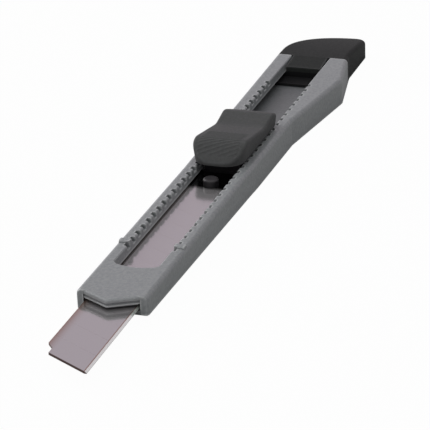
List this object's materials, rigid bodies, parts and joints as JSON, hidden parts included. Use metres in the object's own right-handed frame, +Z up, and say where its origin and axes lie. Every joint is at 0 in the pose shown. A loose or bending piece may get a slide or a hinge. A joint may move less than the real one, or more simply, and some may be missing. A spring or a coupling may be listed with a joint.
{
  "type": "utility knife",
  "caption": "Snap-off utility knife: scored blade on a sliding carrier with a thumb knob, toothed rails in a slim flared handle, and a pull-off end cap with a snapping slit.",
  "frame": {"origin": "on the flat underside of the handle, below the centre line of the slot, where the grip starts to flare", "axes": "+X along the handle towards the blade's tip, +Y towards the cutting edge, +Z up towards the thumb knob"},
  "size_m": [0.146, 0.0161, 0.0089],
  "materials": {
    "handle_plastic": "moulded, fine grain",
    "black_plastic": "moulded, satin",
    "blade_steel": "polished strip, ground edge",
    "spring_steel": "rolled strip, bent"
  },
  "bodies": {
    "handle": {"handle_body": "handle_plastic"},
    "slider": {"blade": "blade_steel", "blade_carrier": "black_plastic", "thumb_knob": "black_plastic", "detent_spring": "spring_steel"},
    "cap": {"end_cap": "black_plastic"}
  },
  "joints": [
    {"name": "slider_slide", "type": "slide", "parent": "handle", "child": "slider", "axis": [1, 0, 0], "range_m": [-0.025, 0.0275], "deforming": ["detent_spring"]},
    {"name": "cap_pull", "type": "slide", "parent": "handle", "child": "cap", "axis": [-1, 0, 0], "range_m": [0, 0.015]}
  ]
}
